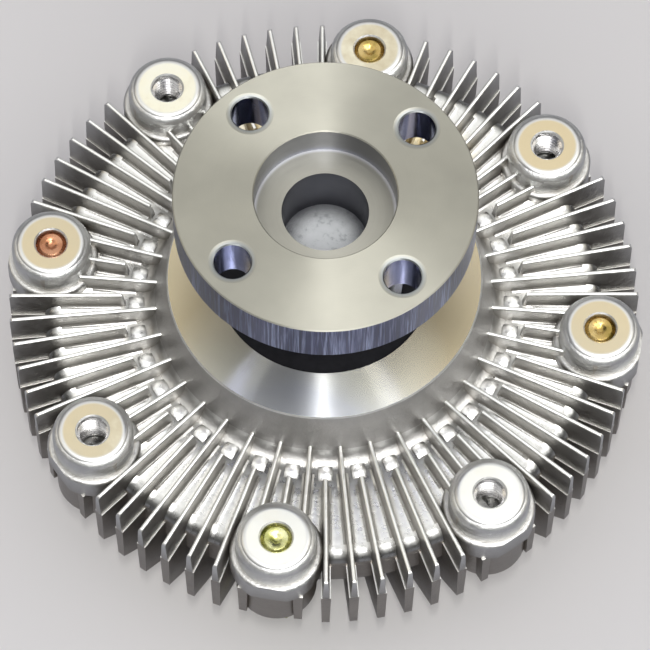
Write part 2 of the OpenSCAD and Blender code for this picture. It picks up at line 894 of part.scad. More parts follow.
module divider_screws() {
    color([0.6, 0.6, 0.6])
        around(screw_count, screw_turn)
            translate([screw_r, 0, 0])
                difference() {
                    union() {
                        translate([0, 0, z_lab])
                            cylinder(d = screw_head_d, h = screw_head_h);
                        translate([0, 0, z_plate - screw_l + sink])
                            cylinder(d = screw_d, h = screw_l + plate_t);
                    }
                    for (a = [0, 90])
                        rotate(a)
                            translate([-cross_l / 2, -cross_w / 2, z_lab + screw_head_h / 2])
                                cube([cross_l, cross_w, screw_head_h]);
                }
}

// Bimetal coil and the valve that it turns

// Spiral of half turns about two centres, with a tab at each end
module bimetal_coil() {
    color([0.72, 0.66, 0.5])
        translate([0, 0, coil_drop])
            union() {
                for (k = [0 : 2 * coil_turns - 1])
                    translate([k % 2 * coil_pitch / 2, 0, 0])
                        rotate(k % 2 * 180)
                            rotate_extrude(angle = 180)
                                translate([coil_r0 + k * coil_pitch / 2 - coil_t / 2, 0])
                                    square([coil_t, coil_w]);
                translate([-valve_shaft_d / 2, -coil_t / 2, 0])
                    cube([valve_shaft_d / 2 + coil_r0 + coil_t / 2, coil_t, coil_w]);
                translate([coil_end_x - coil_t / 2, -coil_t / 2, 0])
                    cube([coil_tail + coil_t, coil_t, coil_w]);
            }
}

// Post with a slot for the coil's outer tab
module coil_anchor() {
    slot = coil_t + 2 * slot_clear;
    z0 = coil_drop - coil_lip;
    color([0.7, 0.68, 0.6])
        translate([anchor_x, 0, 0])
            difference() {
                union() {
                    translate([0, 0, z0])
                        cylinder(d = anchor_d, h = z_face - z0);
                    translate([0, 0, z_face - eps])
                        cylinder(d = anchor_shank_d, h = anchor_shank_h);
                }
                translate([-anchor_d, -slot / 2, z0 - over])
                    cube([2 * anchor_d, slot, coil_w + coil_lip + slot_clear + over]);
            }
}

module valve_shaft() {
    r = valve_shaft_d / 2;
    z0 = coil_drop - coil_lip;
    slot = coil_t + 2 * slot_clear;
    groove = valve_seal_d + 2 * valve_seal_gap;
    color([0.68, 0.68, 0.7])
        difference() {
            union() {
                translate([0, 0, z0])
                    cylinder(r = r, h = z_arm - z0);
                translate([0, 0, z_arm - eps])
                    cylinder(r = r - valve_step, h = arm_t + arm_gap / 2);
            }
            translate([-r - over, -slot / 2, z0 - over])
                cube([2 * (r + over), slot, coil_w + coil_lip + slot_clear + over]);
            ring(r - valve_seal_d - valve_seal_gap, r + over, z_valve_seal - groove / 2, groove);
            ring(r - clip_groove, r + over, z_clip - clip_slack, clip_t + 2 * clip_slack);
        }
}

module valve_seal() {
    color([0.08, 0.08, 0.09])
        rotate_extrude()
            translate([(valve_shaft_d - valve_seal_d) / 2, z_valve_seal])
                circle(d = valve_seal_d);
}

// Lever that slides over the fluid port, with a short tail for balance
module valve_arm() {
    color([0.7, 0.7, 0.71])
        translate([0, 0, z_arm])
            difference() {
                linear_extrude(arm_t)
                    union() {
                        circle(valve_shaft_d / 2 + arm_hub_w);
                        translate([-arm_tail, -arm_w / 2])
                            square([arm_tail + port_r, arm_w]);
                        translate([port_r, 0])
                            circle(d = arm_w);
                        translate([-arm_tail, 0])
                            circle(d = arm_w);
                    }
                translate([0, 0, -over])
                    cylinder(r = valve_shaft_d / 2 - valve_step + seat_clear, h = arm_t + 2 * over);
            }
}

// Open retaining clip in the shaft's groove
module valve_clip() {
    r_in = valve_shaft_d / 2 - clip_groove + seat_clear;
    r_out = valve_shaft_d / 2 + clip_w;
    color([0.3, 0.3, 0.32])
        translate([0, 0, z_clip])
            difference() {
                ring(r_in, r_out, 0, clip_t);
                translate([0, -clip_mouth / 2, -over])
                    cube([r_out + over, clip_mouth, clip_t + 2 * over]);
            }
}

flange_shaft();
bearing_inner_ring();
rotor();
rotor_washer();
rotor_nut();
bearing_cage();
bearing_balls();
rear_housing();
bearing_outer_ring();
bearing_rear_seal();
bearing_front_seal();
bearing_snap_ring();
front_cover();
cover_seal();
cover_bolts();
bolt_washers();
divider_plate();
divider_screws();
bimetal_coil();
coil_anchor();
valve_shaft();
valve_arm();
valve_clip();
valve_seal();
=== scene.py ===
import functools
import math

import bmesh
import bpy
from mathutils import Matrix, Vector


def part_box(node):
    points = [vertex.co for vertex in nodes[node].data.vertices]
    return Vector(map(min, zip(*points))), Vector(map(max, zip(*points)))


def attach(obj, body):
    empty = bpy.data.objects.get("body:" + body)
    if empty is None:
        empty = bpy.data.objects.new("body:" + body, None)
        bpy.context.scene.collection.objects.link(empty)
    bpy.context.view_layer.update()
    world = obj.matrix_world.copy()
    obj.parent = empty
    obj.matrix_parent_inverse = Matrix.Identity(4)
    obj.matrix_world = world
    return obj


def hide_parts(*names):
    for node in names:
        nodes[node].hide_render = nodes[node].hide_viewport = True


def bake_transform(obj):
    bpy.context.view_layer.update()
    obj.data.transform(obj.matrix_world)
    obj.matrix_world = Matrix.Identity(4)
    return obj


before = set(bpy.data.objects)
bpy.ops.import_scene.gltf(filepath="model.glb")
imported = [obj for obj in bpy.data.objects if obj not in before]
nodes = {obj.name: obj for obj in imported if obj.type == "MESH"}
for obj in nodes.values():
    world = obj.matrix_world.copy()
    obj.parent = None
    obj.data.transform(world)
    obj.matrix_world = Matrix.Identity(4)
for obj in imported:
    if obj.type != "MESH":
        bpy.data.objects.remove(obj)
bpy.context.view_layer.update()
scene = bpy.context.scene
scene.view_settings.view_transform = "Standard"

# Heights and radii of the part, in metres
MM = 0.001
Z_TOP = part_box("flange_shaft")[1].z
Z_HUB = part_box("rear_housing")[1].z
Z_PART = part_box("front_cover")[1].z
Z_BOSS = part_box("cover_bolts")[1].z + 0.6 * MM
Z_FLOOR = Z_PART + 3.7 * MM
Z_FIN = Z_FLOOR + 5.2 * MM
Z_PILOT = Z_TOP - 9 * MM
Z_SOCKET = Z_PILOT - 16 * MM
FLANGE_T = 13 * MM
FLANGE_R = 37.5 * MM
FLANGE_HOLE_R = 29.25 * MM
FLANGE_HOLE_TURN = math.radians(49.2)
FLANGE_HOLE_STEP = math.radians(90)
PILOT_R = 17.6 * MM
SOCKET_R = 10.8 * MM
HUB_FOOT_R = 43.5 * MM
RIM_R = 72 * MM
BOSSES = 8
BOSS_R = 71.1 * MM
BOSS_STEP = 2 * math.pi / BOSSES
BOSS_CLEAR = 10.2 * MM
FIN_STEP = math.radians(5)
FIN_START_R = 42 * MM
PAD_R = (46.3 * MM, 50.3 * MM)
PAD_STEP = math.radians(10)
PAD_HALF = math.radians(2.3)
PAD_RISE = (0.05 * MM, 1.0 * MM)

# Sizes of finishes and of painted light and shade, in metres: a pair is where one starts and where it is
# full
PAINTED_REFLECTION_R = (64 * MM, 57 * MM)
PAINTED_REFLECTION_X = (34 * MM, 27 * MM)
PAINTED_REFLECTION_Y = (36 * MM, 44 * MM)
VALLEY_START = (50 * MM, 55 * MM)
VALLEY_END = (RIM_R - 2.2 * MM, RIM_R - 4.4 * MM)
ROOT_START = (52 * MM, 55 * MM)
ROOT_REACH = (2.6 * MM, 0.8 * MM)
SINK_R = (5.9 * MM, 4.9 * MM)
PAD_BORDER = (1.2 * MM, 2.4 * MM)
PILOT_HIGHLIGHT_RING = (PILOT_R - 0.9 * MM, PILOT_R - 0.3 * MM)
BOSS_SPOT_R = 7.5 * MM
SPOT_EDGE = (BOSS_SPOT_R - 0.3 * MM, BOSS_SPOT_R + 0.3 * MM)
SPOT_SHOULDER = (BOSS_SPOT_R, BOSS_SPOT_R + 1.4 * MM)
HUB_SIDE_R = 36 * MM
CREVICE_REACH = 2.5 * MM
SOCKET_EDGE_REACH = 7 * MM

# Bimetal strip, and the fan bosses' thread with its foot and top as shares of the pitch
COIL = {"r": 4.6 * MM, "pitch": 2.6 * MM, "turns": 8, "thick": 0.8 * MM, "width": 7 * MM, "edge": 0.12 * MM,
        "z": 1.5 * MM, "shaft_r": 3 * MM, "bend": 1.2 * MM, "tail": 5.4 * MM, "steps": 36}
FAN_THREAD = {"z_high": Z_BOSS - 0.5 * MM, "depth": 10.7 * MM, "r_out": 3.99 * MM, "r_in": 3.38 * MM,
              "pitch": 1.25 * MM, "foot": 0.46, "top": 0.08}

SMOOTH_ANGLE = math.radians(32)
WELD_GAP = 0.002 * MM


# Node helpers

class Mat:
    """One material with short calls for its nodes."""

    def __init__(self, name, **sockets):
        self.mat = bpy.data.materials.new(name)
        self.mat.use_nodes = True
        self.tree = self.mat.node_tree
        self.bsdf = next(n for n in self.tree.nodes if n.type == "BSDF_PRINCIPLED")
        self._coords = None
        self.set(**sockets)

    def node(self, kind, **props):
        n = self.tree.nodes.new("ShaderNode" + kind)
        for key, value in props.items():
            setattr(n, key, value)
        return n

    def link(self, a, b):
        self.tree.links.new(a, b)

    def put(self, socket, value):
        """Link an output to a socket, or set the socket to a plain value."""
        if hasattr(value, "links"):
            self.link(value, socket)
        else:
            socket.default_value = value

    def set(self, **sockets):
        """Sockets of the shader, with _ for a space in their names."""
        for key, value in sockets.items():
            self.put(self.bsdf.inputs[key.replace("_", " ")], value)

    def coords(self):
        """Object coordinates, the same for every node of the part."""
        if self._coords is None:
            self._coords = self.node("TexCoord").outputs["Object"]
        return self._coords

    def math(self, op, a, b=None):
        n = self.node("Math", operation=op)
        self.put(n.inputs[0], a)
        if b is not None:
            self.put(n.inputs[1], b)
        return n.outputs[0]

    def total(self, *values):
        return functools.reduce(lambda a, b: self.math("ADD", a, b), values)

    def product(self, *values):
        return functools.reduce(lambda a, b: self.math("MULTIPLY", a, b), values)

    def length(self, a, b):
        """Length of the line that has the two legs."""
        return self.math("SQRT", self.total(self.product(a, a), self.product(b, b)))

    def xyz(self):
        n = self.node("SeparateXYZ")
        self.link(self.coords(), n.inputs[0])
        return n.outputs

    def polar(self):
        """Radius, angle and height about the shaft axis."""
        x, y, z = self.xyz()
        return self.length(x, y), self.math("ARCTAN2", y, x), z

    def from_spot(self, radius, step, first=0.0):
        """Distance from the nearest of the spots that lie at a radius, one step of angle apart."""
        r, angle, _ = self.polar()
        turn = self.math("PINGPONG", self.total(angle, 2 * math.pi - first), step / 2)
        along = self.math("SUBTRACT", self.product(r, self.math("COSINE", turn)), radius)
        return self.length(along, self.product(r, self.math("SINE", turn)))

    def quarters(self, radius):
        """1 at the two sides of the axis along X, 0 at the two along Y."""
        x, y, _ = self.xyz()
        gap = self.math("SUBTRACT", self.product(x, x), self.product(y, y))
        return self.range(gap, -radius * radius, radius * radius)

    def combine(self, x, y, z):
        n = self.node("CombineXYZ")
        for socket, value in zip(n.inputs, (x, y, z)):
            self.put(socket, value)
        return n.outputs[0]

    def noise(self, scale, detail=3.0, rough=0.55, vector=None):
        n = self.node("TexNoise")
        self.link(vector or self.coords(), n.inputs["Vector"])
        n.inputs["Scale"].default_value = scale
        n.inputs["Detail"].default_value = detail
        n.inputs["Roughness"].default_value = rough
        return n.outputs["Fac"]

    def streaks(self, first, second=None, shift=0.0, detail=2, rough=0.6):
        """Noise drawn out into lines, by a value and its factor on one axis or on two."""
        axes = [self.product(*axis) if axis else 0.0 for axis in (first, second)]
        return self.noise(1.0, detail, rough, self.combine(*axes, shift))

    def range(self, value, a, b, c=0.0, d=1.0):
        n = self.node("MapRange")
        self.put(n.inputs["Value"], value)
        for key, v in zip(("From Min", "From Max", "To Min", "To Max"), (a, b, c, d)):
            n.inputs[key].default_value = v
        return n.outputs["Result"]

    def spread(self, noise, low=0.0, high=1.0):
        """The usual values of a noise, stretched to a range."""
        return self.range(noise, 0.3, 0.7, low, high)

    def ramp(self, value, *stops):
        n = self.node("ValToRGB")
        self.link(value, n.inputs[0])
        slots = n.color_ramp.elements
        while len(slots) < len(stops):
            slots.new(0.5)
        for slot, (place, colour) in zip(slots, stops):
            slot.position = place
            slot.color = (*colour, 1)
        return n.outputs["Color"]

    def mix(self, fac, a, b, blend="MIX"):
        n = self.node("Mix", data_type="RGBA", blend_type=blend)
        self.put(n.inputs["Factor"], fac)
        for key, value in (("A", a), ("B", b)):
            socket = next(s for s in n.inputs if s.name == key and s.type == "RGBA")
            self.put(socket, (*value, 1) if isinstance(value, tuple) else value)
        return next(s for s in n.outputs if s.type == "RGBA")

    def tinted(self, base, colour):
        return self.mix(1.0, base, colour, "MULTIPLY")

    def bump(self, height, strength, distance, normal=None):
        n = self.node("Bump")
        n.inputs["Strength"].default_value = strength
        n.inputs["Distance"].default_value = distance
        self.link(height, n.inputs["Height"])
        if normal is not None:
            self.link(normal, n.inputs["Normal"])
        return n.outputs["Normal"]

    def brushed(self, amount):
        """Highlights drawn out across the rings that a lathe leaves."""
        self.set(Anisotropic=amount, Anisotropic_Rotation=0.25)
        tangent = self.node("Tangent", direction_type="RADIAL", axis="Z")
        self.link(tangent.outputs[0], self.bsdf.inputs["Tangent"])

    def crevice(self, reach):
        """Mask for painted shade: 1 on open surfaces, falling to 0 in narrow gaps."""
        n = self.node("AmbientOcclusion", samples=6)
        n.inputs["Distance"].default_value = reach
        return self.range(n.outputs["AO"], 0.15, 0.85)


# Materials

STRAW = (1.0, 0.88, 0.62)
CAST_LIGHT = (0.70, 0.70, 0.69)


def cast_aluminium(name, light, dark, tint, painted_warmth=STRAW, rough=(0.34, 0.48), relief=1.0, valley=False):
    """Sand-cast skin with painted shade in crevices and low down, and a painted warm reflection near the hub
    at the back.

    A valley's floor has painted shade at its two ends instead of low down, and rises softly to the fins.
    """
    m = Mat(name, Metallic=1.0)
    grain = m.noise(1500, 4, 0.65)
    fine = m.noise(420, 3, 0.6)
    cloud = m.noise(90, 3, 0.5)
    mottle = m.total(m.product(cloud, 0.5), m.product(fine, 0.5))
    base = m.ramp(mottle, (0.30, dark), (0.60, light), (0.85, tint))
    r, _, z = m.polar()
    x, y, _ = m.xyz()
    # Painted warm reflection near the hub at the back.
    painted_reflection = m.product(m.range(r, *PAINTED_REFLECTION_R), m.range(y, *PAINTED_REFLECTION_Y), m.range(m.math("ABSOLUTE", x), *PAINTED_REFLECTION_X))
    base = m.mix(painted_reflection, base, m.tinted(base, painted_warmth))
    if valley:
        # Painted shade at the valley floor's two ends.
        bright = m.product(m.range(r, *VALLEY_START), m.range(r, *VALLEY_END))
        base = m.mix(bright, m.tinted(base, (0.38, 0.38, 0.38)), base)
    else:
        # Painted shade: darker low down.
        base = m.mix(m.range(z, Z_PART, Z_FIN), m.tinted(base, (0.62, 0.60, 0.58)), base)
    # Painted shade in crevices.
    base = m.mix(m.crevice(CREVICE_REACH), m.tinted(base, (0.62, 0.60, 0.57)), base)
    m.set(Base_Color=base, Roughness=m.spread(fine, *rough))
    normal = m.bump(cloud, 0.30 * relief, 0.5 * MM)
    normal = m.bump(fine, 0.30 * relief, 0.5 * MM, normal)
    normal = m.bump(grain, 0.45 * relief, 0.25 * MM, normal)
    if valley:
        normal = m.bump(fin_root(m), 1.0, 0.45 * MM, normal)
    m.set(Normal=normal)
    return m.mat


def fin_root(m):
    """Rise of the valley floor where it meets a fin's side."""
    r, angle, _ = m.polar()
    turn = m.math("PINGPONG", m.total(angle, math.pi), FIN_STEP / 2)
    rise = m.range(m.product(turn, r), *ROOT_REACH)
    return m.product(rise, rise, m.range(r, *ROOT_START))


def turned(name, colour, dull, rough, pitch=0.30 * MM, brush=0.0, marks=0.12, painted_highlight_ring=None):
    """Metal turned about the shaft axis, with rings of tool marks and a painted highlight ring where one is
    given.
    """
    m = Mat(name, Metallic=1.0)
    r, _, z = m.polar()
    line = m.streaks((r, 1 / pitch), (z, 1 / pitch))
    base = m.mix(m.spread(m.noise(60, 3, 0.55)), dull, colour)
    if painted_highlight_ring:
        # Painted highlight: a pale ring between the given radii.
        base = m.mix(m.range(r, *painted_highlight_ring, 0, 0.7), base, (0.72, 0.72, 0.76))
    m.set(Base_Color=base, Roughness=m.spread(line, rough * 0.85, rough * 1.15))
    m.set(Normal=m.bump(line, marks, 0.05 * MM))
    if brush:
        m.brushed(brush)
    return m.mat


def hub_face(name):
    """Ring of the hub with painted reflections: silver in front, straw coloured at the sides."""
    m = Mat(name, Metallic=1.0)
    r, _, _ = m.polar()
    line = m.streaks((r, 1 / (0.35 * MM)))
    cloud = m.noise(50, 1, 0.4)
    # Painted reflections: silver and ivory in front, straw at the sides.
    side = m.total(m.quarters(HUB_SIDE_R), m.spread(cloud, -0.06, 0.06))
    base = m.ramp(side, (0.04, (0.82, 0.84, 0.88)), (0.28, (0.97, 0.96, 0.85)), (0.85, (0.72, 0.62, 0.42)))
    base = m.mix(m.spread(line, 0.10, 0.0), base, (0.30, 0.30, 0.30))
    m.set(Base_Color=base, Roughness=m.spread(cloud, 0.25, 0.26))
    m.set(Normal=m.bump(line, 0.003, 0.02 * MM))
    m.brushed(1.0)
    return m.mat


def boss_face(name):
    """Boss ends: a milled spot in a rounded cast shoulder, with painted reflections: ivory in front and tan
    at the sides.
    """
    m = Mat(name, Metallic=1.0)
    x, y, _ = m.xyz()
    line = m.streaks((x, 4000), (y, 500), detail=3)
    cloud = m.spread(m.noise(160, 3, 0.6), -0.08, 0.08)
    # Painted reflections: the spot's tone and brightness follow its place about the axis.
    tilt = m.total(m.product(x, -0.02 / BOSS_R), m.product(y, 0.25 / BOSS_R))
    twist = m.product(x, y, 0.6 / BOSS_R ** 2)
    painted_warmth = m.total(m.range(m.quarters(BOSS_R), 0, 1, 0.25, 0.70), tilt, twist, cloud)
    milled_and_reflection = m.ramp(painted_warmth, (0.05, (0.87, 0.87, 0.82)), (0.38, (0.87, 0.84, 0.69)),
                    (0.56, (0.61, 0.54, 0.39)), (0.85, (0.66, 0.56, 0.37)))
    away = m.from_spot(BOSS_R, BOSS_STEP)
    m.set(Base_Color=m.mix(m.range(away, *SPOT_EDGE), milled_and_reflection, CAST_LIGHT))
    m.set(Roughness=m.spread(line, 0.34, 0.46))
    drop = m.range(away, *SPOT_SHOULDER)
    m.set(Normal=m.bump(m.product(drop, drop), 1.0, -0.4 * MM, m.bump(line, 0.10, 0.05 * MM)))
    return m.mat


def flange_face(name):
    """Ground face of the flange, with a countersink about each bolt hole."""
    m = Mat(name, Metallic=1.0)
    r, _, _ = m.polar()
    line = m.streaks((r, 1 / (0.4 * MM)))
    base = m.mix(m.spread(m.noise(60, 3, 0.55)), (0.39, 0.38, 0.33), (0.45, 0.44, 0.38))
    sink = m.range(m.from_spot(FLANGE_HOLE_R, FLANGE_HOLE_STEP, FLANGE_HOLE_TURN), *SINK_R)
    m.set(Base_Color=m.mix(m.product(sink, 0.7), base, (0.33, 0.36, 0.39)))
    m.set(Roughness=m.spread(line, 0.38, 0.46))
    m.set(Normal=m.bump(sink, 1.0, -0.25 * MM, m.bump(line, 0.05, 0.05 * MM)))
    m.brushed(0.8)
    return m.mat


def flange_side(name):
    """Rim of the flange: fine upright lines under a dark blue plating."""
    m = Mat(name, Metallic=1.0)
    _, angle, z = m.polar()
    line = m.streaks((angle, 62.0), (z, 40.0), detail=3, rough=0.7)
    wide = m.streaks((angle, 9.0), (z, 20.0), 3.0, rough=0.5)
    base = m.ramp(line, (0.38, (0.006, 0.008, 0.028)), (0.50, (0.026, 0.031, 0.085)),
                  (0.66, (0.22, 0.25, 0.38)))
    base = m.mix(m.range(wide, 0.35, 0.7, 0, 0.6), base, (0.024, 0.028, 0.085))
    m.set(Base_Color=base, Roughness=m.spread(line, 0.28, 0.44))
    m.set(Normal=m.bump(line, 0.5, 0.2 * MM))
    return m.mat


def plain_metal(name, colour, dull, rough, scale=300, relief=0.25):
    """Metal with a fine grain and two tones in soft patches."""
    m = Mat(name, Metallic=1.0)
    grain = m.noise(scale, 4, 0.6)
    patch = m.noise(scale / 6, 3, 0.5)
    m.set(Base_Color=m.mix(m.range(patch, 0.35, 0.7), dull, colour))
    m.set(Roughness=m.spread(grain, rough * 0.8, rough * 1.25))
    m.set(Normal=m.bump(grain, relief, 0.10 * MM))
    return m.mat


def socket_floor(name):
    """Pale end of the socket, speckled, with painted shade where it meets the wall."""
    m = Mat(name, Metallic=0.2)
    speckle = m.noise(500, 4, 0.6)
    base = m.ramp(speckle, (0.32, (0.62, 0.64, 0.63)), (0.45, (0.90, 0.92, 0.90)),
                  (0.75, (0.97, 0.98, 0.97)))
    # Painted shade near the wall.
    edge = m.tinted(base, (0.10, 0.10, 0.11))
    m.set(Base_Color=m.mix(m.range(m.crevice(SOCKET_EDGE_REACH), 0.5, 1.0), edge, base))
    m.set(Roughness=m.spread(speckle, 0.48, 0.70))
    m.set(Normal=m.bump(speckle, 0.25, 0.10 * MM))
    return m.mat


def cast_pad(name):
    """Crowned pads with the coarse skin of a punched mark, paler than the cast skin as a painted highlight,
    and darker towards their border.
    """
    m = Mat(name, Metallic=1.0)
    coarse = m.noise(1100, 2, 0.6)
    # Pale base: painted highlight.
    base = m.mix(m.range(coarse, 0.35, 0.65), (0.80, 0.80, 0.79), (0.97, 0.97, 0.96))
    border = m.range(m.from_spot(sum(PAD_R) / 2, PAD_STEP), *PAD_BORDER)
    m.set(Base_Color=m.mix(border, base, (0.30, 0.30, 0.30)))
    m.set(Roughness=m.spread(coarse, 0.26, 0.40))
    m.set(Normal=m.bump(coarse, 0.35, 0.35 * MM))
    return m.mat


def rubber(name):
    """Black rubber with a faint grain."""
    m = Mat(name, Metallic=0.0, Specular_IOR_Level=0.25)
    grain = m.noise(700, 3, 0.6)
    m.set(Base_Color=m.mix(m.range(grain, 0.35, 0.7), (0.006, 0.006, 0.008), (0.014, 0.014, 0.017)))
    m.set(Roughness=m.spread(grain, 0.50, 0.70))
    m.set(Normal=m.bump(grain, 0.2, 0.08 * MM))
    return m.mat


def zinc(name, pale, deep, shade):
    """Chromated bolt: tones in soft patches."""
    m = Mat(name, Metallic=1.0)
    patch = m.noise(240, 2, 0.5)
    small = m.noise(900, 3, 0.6)
    m.set(Base_Color=m.ramp(patch, (0.34, shade), (0.48, deep), (0.66, pale)))
    m.set(Roughness=m.spread(small, 0.20, 0.34))
    m.set(Normal=m.bump(small, 0.35, 0.15 * MM))
    return m.mat


CAST = cast_aluminium("cast_aluminium", CAST_LIGHT, (0.58, 0.58, 0.57), (0.78, 0.78, 0.76))
# Darker, warmer copy of the cast skin for the front cover and the housing's rim wall: painted shade.
COVER_PAINTED_SHADE = cast_aluminium("cast_cover_painted_shade", (0.63, 0.60, 0.56), (0.50, 0.47, 0.44), (0.71, 0.68, 0.64),
                            painted_warmth=(1.0, 0.95, 0.85))
# Pale copy of the cast skin for the valley floors: a painted highlight, with painted shade at their ends.
VALLEY_PAINTED_LIGHT = cast_aluminium("cast_valley_painted_light", (0.94, 0.94, 0.92), (0.86, 0.86, 0.84), (0.97, 0.97, 0.95),
                        rough=(0.24, 0.34), relief=0.4, valley=True)
# Darker copy of the cast skin for the fins' sides: painted shade.
FIN_SIDE_PAINTED_SHADE = cast_aluminium("cast_fin_painted_shade", (0.60, 0.59, 0.57), (0.50, 0.49, 0.47), (0.68, 0.67, 0.65))
# Darker copy of the cast skin for the hub's wall: painted shade.
HUB_WALL_PAINTED_SHADE = cast_aluminium("cast_hub_painted_shade", (0.50, 0.49, 0.48), (0.41, 0.40, 0.39), (0.58, 0.57, 0.56))
# Pale metal for the fin tops, the hub's rounded edge and the cover's top strip: a painted highlight.
EDGE_PAINTED_HIGHLIGHT = plain_metal("fin_edge_painted_highlight", (0.92, 0.92, 0.90), (0.84, 0.84, 0.81), 0.36, 900)
PAD_PAINTED_LIGHT = cast_pad("cast_pad")
HUB_FACE = hub_face("hub_face")
BOSS_FACE = boss_face("boss_face")
FLANGE_FACE = flange_face("flange_face")
FLANGE_SIDE = flange_side("flange_side")
FLANGE_HOLE = plain_metal("flange_hole", (0.10, 0.115, 0.23), (0.05, 0.058, 0.14), 0.22, 400)
PILOT_WALL = turned("pilot_wall", (0.155, 0.16, 0.18), (0.12, 0.125, 0.145), 0.34)
PILOT_FLOOR = turned("pilot_floor", (0.42, 0.41, 0.36), (0.37, 0.36, 0.32), 0.40,
                     brush=0.5, marks=0.05, painted_highlight_ring=PILOT_HIGHLIGHT_RING)
SOCKET_WALL = turned("socket_wall", (0.10, 0.10, 0.115), (0.07, 0.07, 0.085), 0.34)
SOCKET_FLOOR = socket_floor("socket_floor")
NECK = turned("shaft_neck", (0.42, 0.43, 0.46), (0.33, 0.34, 0.38), 0.30)
STEEL = plain_metal("plain_steel", (0.62, 0.62, 0.63), (0.50, 0.50, 0.52), 0.34)
THREAD = plain_metal("thread", (0.80, 0.79, 0.79), (0.70, 0.69, 0.69), 0.24, 900, relief=0.04)
BEARING = turned("bearing_steel", (0.74, 0.74, 0.75), (0.66, 0.66, 0.68), 0.18, pitch=0.15 * MM)
DARK = plain_metal("dark_steel", (0.16, 0.16, 0.17), (0.10, 0.10, 0.11), 0.42)
RUBBER = rubber("black_rubber")
ZINC_GOLD = zinc("zinc_gold", (0.68, 0.51, 0.22), (0.54, 0.38, 0.13), (0.32, 0.24, 0.06))
ZINC_COPPER = zinc("zinc_copper", (0.62, 0.33, 0.20), (0.50, 0.23, 0.13), (0.32, 0.14, 0.07))
ZINC_OLIVE = zinc("zinc_olive", (0.86, 0.86, 0.48), (0.60, 0.60, 0.24), (0.30, 0.32, 0.08))
BIMETAL = plain_metal("bimetal", (0.72, 0.62, 0.44), (0.60, 0.52, 0.40), 0.32)


# Materials on the part's own meshes

def dress(name, base, *rules):
    """Materials of a CAD node: the base one, and others where a rule picks a face.

    A rule is given the face's radius about the shaft axis, its centre and its normal.
    """
    mesh = nodes[name].data
    mesh.materials.clear()
    mesh.materials.append(base)
    for mat, _ in rules:
        mesh.materials.append(mat)
    for p in mesh.polygons:
        c, n = p.center, p.normal
        r = math.hypot(c.x, c.y)
        p.material_index = next((i for i, (_, rule) in enumerate(rules, 1) if rule(r, c, n)), 0)


def near(a, b, tolerance=0.12 * MM):
    return abs(a - b) < tolerance


def off_step(c, step):
    """Angle about the axis from the nearest whole step to a point."""
    return (math.atan2(c.y, c.x) + step / 2) % step - step / 2


def on_pad(r, c):
    """Is a point on one of the crowned pads, which stand between the long fins."""
    level = PAD_RISE[0] < c.z - Z_FLOOR < PAD_RISE[1]
    return level and PAD_R[0] < r < PAD_R[1] and abs(off_step(c, PAD_STEP)) < PAD_HALF


def on_fin_side(r, c, n):
    """Does a face look round the axis, clear of the bosses."""
    turn = off_step(c, BOSS_STEP)
    clear = math.hypot(r * math.cos(turn) - BOSS_R, r * math.sin(turn)) > BOSS_CLEAR
    return clear and r > FIN_START_R and abs(n.y * c.x - n.x * c.y) > 0.85 * r


# Besides the real finishes, these rules put painted highlights on the fin tops, hub edge, pads and valley
# floors, and painted shade on the fin sides, hub wall and rim wall.
dress("rear_housing", CAST,
      (HUB_FACE, lambda r, c, n: n.z > 0.98 and near(c.z, Z_HUB)),
      (EDGE_PAINTED_HIGHLIGHT, lambda r, c, n: n.z > 0.2 and near(c.z, Z_HUB, 0.5 * MM)),
      (BOSS_FACE, lambda r, c, n: n.z > 0.93 and near(c.z, Z_BOSS, 2 * MM)),
      (PAD_PAINTED_LIGHT, lambda r, c, n: n.z > 0.6 and on_pad(r, c)),
      (EDGE_PAINTED_HIGHLIGHT, lambda r, c, n: n.z > 0.4 and near(c.z, Z_FIN, 0.5 * MM)),
      (FIN_SIDE_PAINTED_SHADE, on_fin_side),
      (HUB_WALL_PAINTED_SHADE, lambda r, c, n: r < HUB_FOOT_R and c.z > Z_FLOOR),
      # Painted shade on the rim wall between the fins.
      (COVER_PAINTED_SHADE, lambda r, c, n: abs(n.z) < 0.3 and near(r, RIM_R, 0.3 * MM)),
      (VALLEY_PAINTED_LIGHT, lambda r, c, n: n.z > 0.3 and Z_PART < c.z < Z_FLOOR + 0.1 * MM))
dress("front_cover", COVER_PAINTED_SHADE,
      (EDGE_PAINTED_HIGHLIGHT, lambda r, c, n: n.z > 0.9 and near(c.z, Z_PART)))
dress("flange_shaft", NECK,
      (FLANGE_SIDE, lambda r, c, n: abs(n.z) < 0.3 and near(r, FLANGE_R, 0.15 * MM)),
      (FLANGE_FACE, lambda r, c, n: n.z > 0.5 and near(c.z, Z_TOP, 0.4 * MM)),
      (PILOT_FLOOR, lambda r, c, n: n.z > 0.9 and near(c.z, Z_PILOT)),
      (SOCKET_FLOOR, lambda r, c, n: n.z > 0.9 and near(c.z, Z_SOCKET)),
      (PILOT_WALL, lambda r, c, n: near(r, PILOT_R, 0.5 * MM) and Z_PILOT < c.z),
      (SOCKET_WALL, lambda r, c, n: r < SOCKET_R + 0.1 * MM and Z_SOCKET < c.z < Z_PILOT),
      (FLANGE_HOLE, lambda r, c, n: abs(n.z) < 0.9 and c.z > Z_TOP - FLANGE_T and r > PILOT_R + 4 * MM))
dress("rotor", CAST)
for node in ("bearing_inner_ring", "bearing_outer_ring", "bearing_balls", "bearing_cage"):
    dress(node, BEARING)
for node in ("bearing_rear_seal", "bearing_front_seal", "cover_seal", "valve_seal"):
    dress(node, RUBBER)
for node in ("bearing_snap_ring", "valve_clip"):
    dress(node, DARK)
for node in ("cover_bolts", "bolt_washers"):
    dress(node, ZINC_GOLD,
          (ZINC_COPPER, lambda r, c, n: c.x < -BOSS_R / 2),
          (ZINC_OLIVE, lambda r, c, n: c.y < -BOSS_R / 2))
dress("coil_anchor", ZINC_GOLD)
